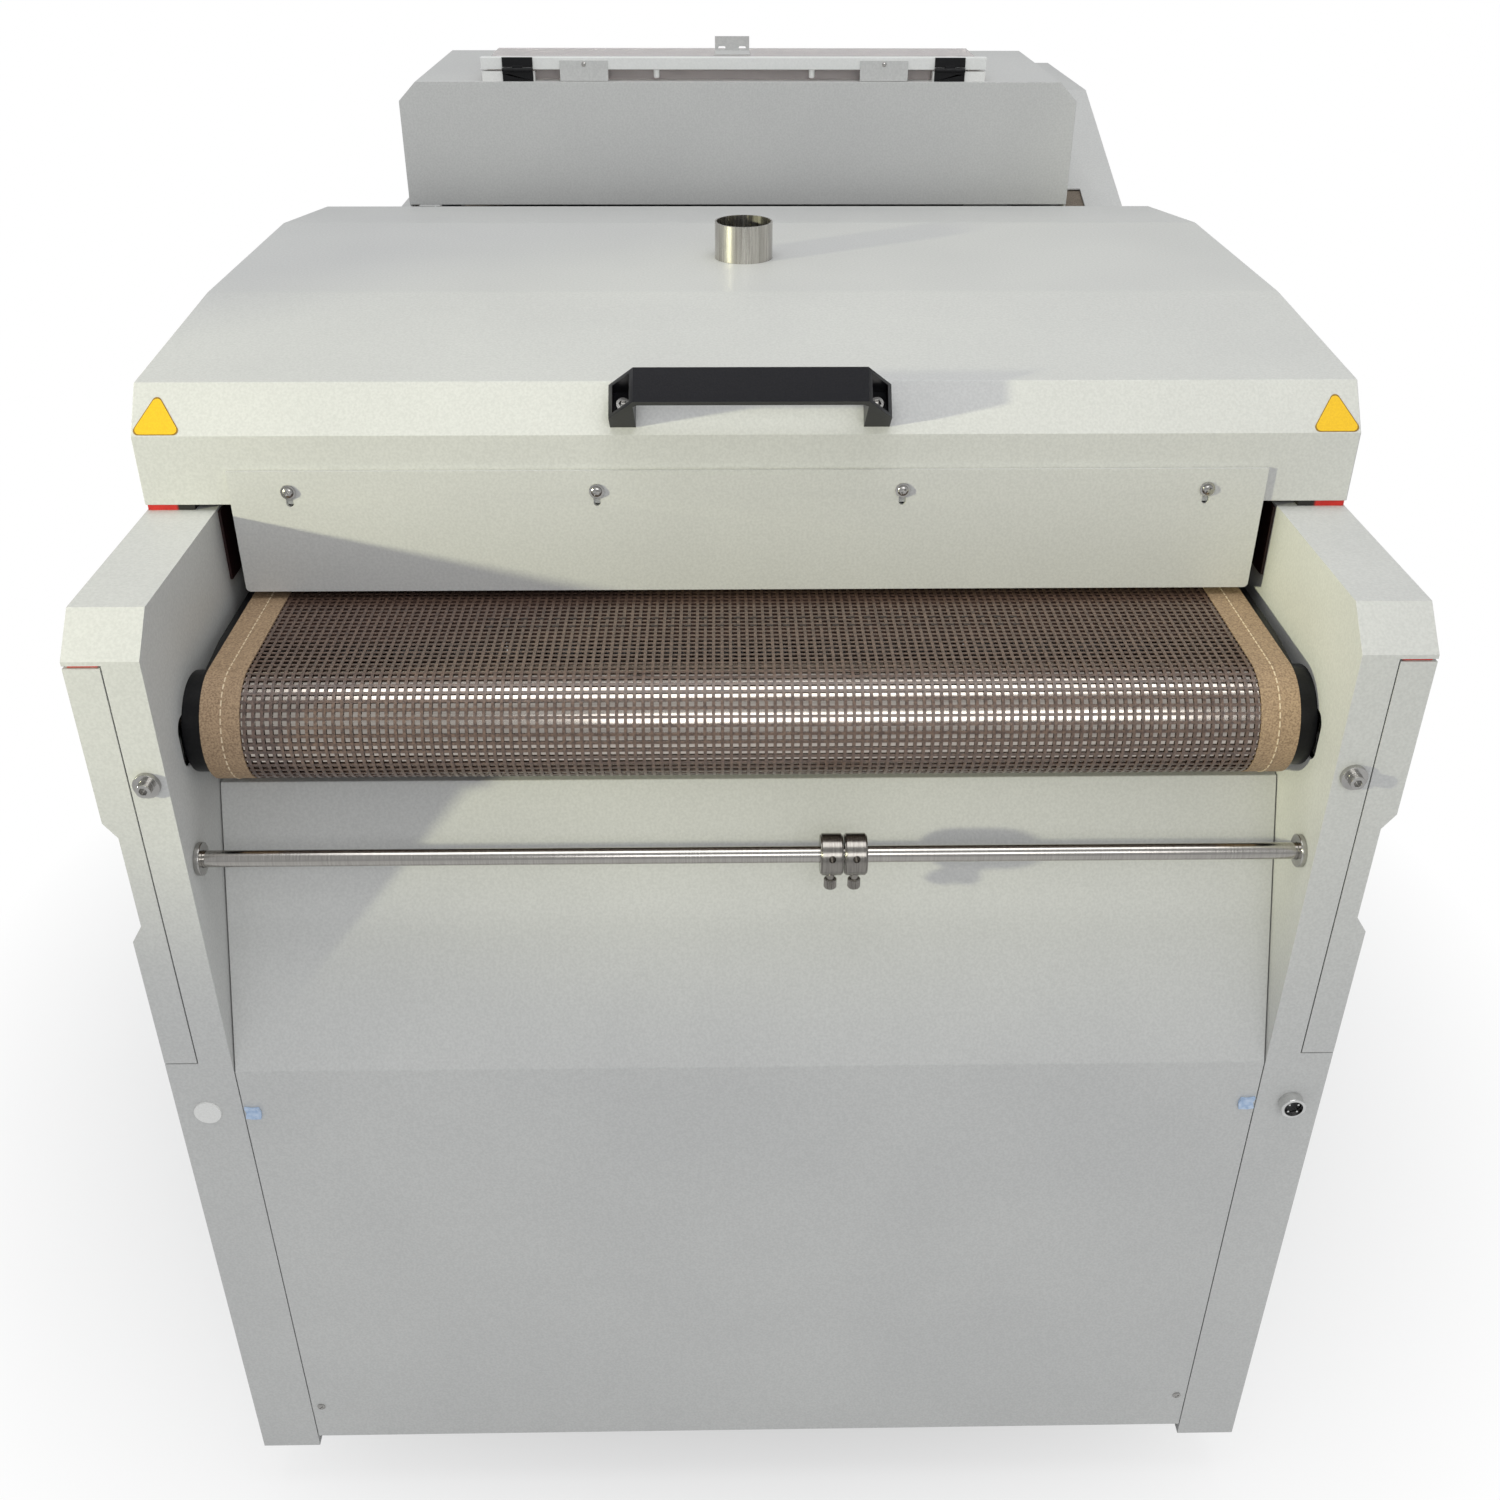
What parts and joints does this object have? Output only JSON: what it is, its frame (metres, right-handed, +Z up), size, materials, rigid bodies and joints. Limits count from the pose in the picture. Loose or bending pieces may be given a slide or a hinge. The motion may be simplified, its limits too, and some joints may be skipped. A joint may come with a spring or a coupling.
{
  "type": "powder shaker dryer",
  "caption": "Floor-standing dryer for transfer film: front mesh conveyor, lifting oven hood, rear powder hopper with clear lid, take-up rod and side doors.",
  "frame": {"origin": "centre of the overall box at floor level, where the four feet stand", "axes": "+X to the right seen from the front, +Y from the delivery end at the front to the powder end at the back, +Z up"},
  "size_m": [0.88, 1.497, 1.1146],
  "materials": {
    "grey_paint": "fine orange-peel powder coat",
    "dark_paint": "satin powder coat",
    "black_paint": "satin",
    "white_paint": "satin",
    "liner_paint": "matt heat-proof coat",
    "motor_paint": "satin",
    "steel": "brushed and turned",
    "chrome": "polished",
    "zinc_sheet": "galvanised",
    "bright_sheet": "bright reflector",
    "red_rubber": "matt silicone",
    "white_plastic": "matt",
    "black_plastic": "satin",
    "screen_plastic": "gloss",
    "red_plastic": "gloss",
    "belt_mesh": "coated glass-fibre mesh with stitched edges",
    "quartz": "clear with white ends",
    "acrylic": "clear, faintly pink"
  },
  "bodies": {
    "cabinet": {"base_frame": "dark_paint", "levelling_feet": "zinc_sheet", "inner_wall_left": "grey_paint", "inner_wall_right": "grey_paint", "side_cover_left": "grey_paint", "side_cover_right": "grey_paint", "red_seals": "red_rubber", "front_panel": "grey_paint", "panel_screws": "steel", "rear_panel": "grey_paint", "oven_liners": "liner_paint", "hole_plug": "white_plastic", "signal_connector": "chrome", "power_inlet": "black_plastic", "conveyor_rails": "black_paint", "platform_plate": "zinc_sheet", "mesh_belt": "belt_mesh", "drive_motor": "motor_paint", "drive_chain": "steel", "tension_screws": "steel", "rod_bearings": "steel", "take_up_motor": "motor_paint", "hood_hinge_bases": "zinc_sheet", "cross_bars": "dark_paint", "hopper_box": "grey_paint", "powder_trough": "zinc_sheet", "feed_motor": "motor_paint", "window_frame": "acrylic", "lid_hinge_bases": "black_paint", "console_shell": "grey_paint", "touch_screen": "screen_plastic"},
    "hood": {"hood_shell": "grey_paint", "hood_handle": "black_plastic", "handle_screws": "steel", "flap_screws": "steel", "exhaust_stub": "steel", "heater_tubes": "quartz", "heat_reflector": "bright_sheet", "hood_hinge_arms": "zinc_sheet"},
    "flap": {"exit_flap": "grey_paint"},
    "lid": {"lid_window": "acrylic", "lid_bar": "white_paint", "lid_brackets": "grey_paint", "lid_hinge_leaves": "black_paint"},
    "door_left": {"side_door_left": "grey_paint"},
    "door_right": {"side_door_right": "grey_paint"},
    "rod": {"take_up_rod": "steel"},
    "collar_left": {"collar_left": "steel"},
    "collar_right": {"collar_right": "steel"},
    "thumb_left": {"thumb_screw_left": "steel"},
    "thumb_right": {"thumb_screw_right": "steel"},
    "drive": {"drive_roller": "steel"},
    "nose": {"nose_roller": "steel"},
    "pinion": {"motor_sprocket": "steel"},
    "meter": {"metering_roller": "black_plastic"},
    "infeed": {"infeed_roller": "steel"},
    "beater": {"beater_shaft": "steel"},
    "tray": {"powder_tray": "zinc_sheet"},
    "stop_button": {"emergency_stop": "red_plastic"},
    "knob": {"power_knob": "black_plastic"}
  },
  "joints": [
    {"name": "hood_hinge", "type": "hinge", "parent": "cabinet", "child": "hood", "pos_m": [0, 0.1095, 0.91], "axis": [-1, 0, 0], "range_deg": [0, 40]},
    {"name": "flap_slide", "type": "slide", "parent": "hood", "child": "flap", "axis": [0, 0, 1], "range_m": [0, 0.008]},
    {"name": "lid_hinge", "type": "hinge", "parent": "cabinet", "child": "lid", "pos_m": [0, 0.143, 1.0956], "axis": [1, 0, 0], "range_deg": [0, 100]},
    {"name": "door_left_hinge", "type": "hinge", "parent": "cabinet", "child": "door_left", "pos_m": [-0.434, 0.0995, 0.689], "axis": [0, 0, -1], "range_deg": [0, 105]},
    {"name": "door_right_hinge", "type": "hinge", "parent": "cabinet", "child": "door_right", "pos_m": [0.434, 0.0995, 0.689], "axis": [0, 0, 1], "range_deg": [0, 105]},
    {"name": "rod_spin", "type": "hinge", "parent": "cabinet", "child": "rod", "pos_m": [0, -0.7165, 0.693], "axis": [1, 0, 0], "continuous": true},
    {"name": "collar_left_slide", "type": "slide", "parent": "rod", "child": "collar_left", "axis": [1, 0, 0], "range_m": [-0.38, 0]},
    {"name": "collar_right_slide", "type": "slide", "parent": "rod", "child": "collar_right", "axis": [1, 0, 0], "range_m": [0, 0.29]},
    {"name": "thumb_left_turn", "type": "hinge", "parent": "collar_left", "child": "thumb_left", "pos_m": [0.0552, -0.7165, 0.67], "axis": [0, 0, 1], "range_deg": [0, 360]},
    {"name": "thumb_right_turn", "type": "hinge", "parent": "collar_right", "child": "thumb_right", "pos_m": [0.0722, -0.7165, 0.67], "axis": [0, 0, 1], "range_deg": [0, 360]},
    {"name": "drive_spin", "type": "hinge", "parent": "cabinet", "child": "drive", "pos_m": [0, 0.0415, 0.776], "axis": [1, 0, 0], "continuous": true},
    {"name": "nose_spin", "type": "hinge", "parent": "cabinet", "child": "nose", "pos_m": [0, -0.6655, 0.776], "axis": [1, 0, 0], "continuous": true},
    {"name": "pinion_spin", "type": "hinge", "parent": "cabinet", "child": "pinion", "pos_m": [0.4, 0.0415, 0.62], "axis": [1, 0, 0], "continuous": true},
    {"name": "meter_spin", "type": "hinge", "parent": "cabinet", "child": "meter", "pos_m": [0, 0.2295, 0.963], "axis": [1, 0, 0], "continuous": true},
    {"name": "infeed_spin", "type": "hinge", "parent": "cabinet", "child": "infeed", "pos_m": [0, 0.6915, 0.8505], "axis": [1, 0, 0], "continuous": true},
    {"name": "beater_spin", "type": "hinge", "parent": "cabinet", "child": "beater", "pos_m": [0, 0.4415, 0.76], "axis": [1, 0, 0], "continuous": true},
    {"name": "tray_slide", "type": "slide", "parent": "cabinet", "child": "tray", "axis": [0, 1, 0], "range_m": [0, 0.45]},
    {"name": "stop_press", "type": "slide", "parent": "cabinet", "child": "stop_button", "axis": [0, -1, 0], "range_m": [0, 0.005], "stiffness_N_per_m": 400},
    {"name": "knob_turn", "type": "hinge", "parent": "cabinet", "child": "knob", "pos_m": [0.415, 0.7205, 0.932], "axis": [0, 1, 0], "range_deg": [0, 90]}
  ],
  "couplings": [
    {"joint": "nose_spin", "follows": "drive_spin", "ratio": 1},
    {"joint": "pinion_spin", "follows": "drive_spin", "ratio": 1.6667}
  ]
}
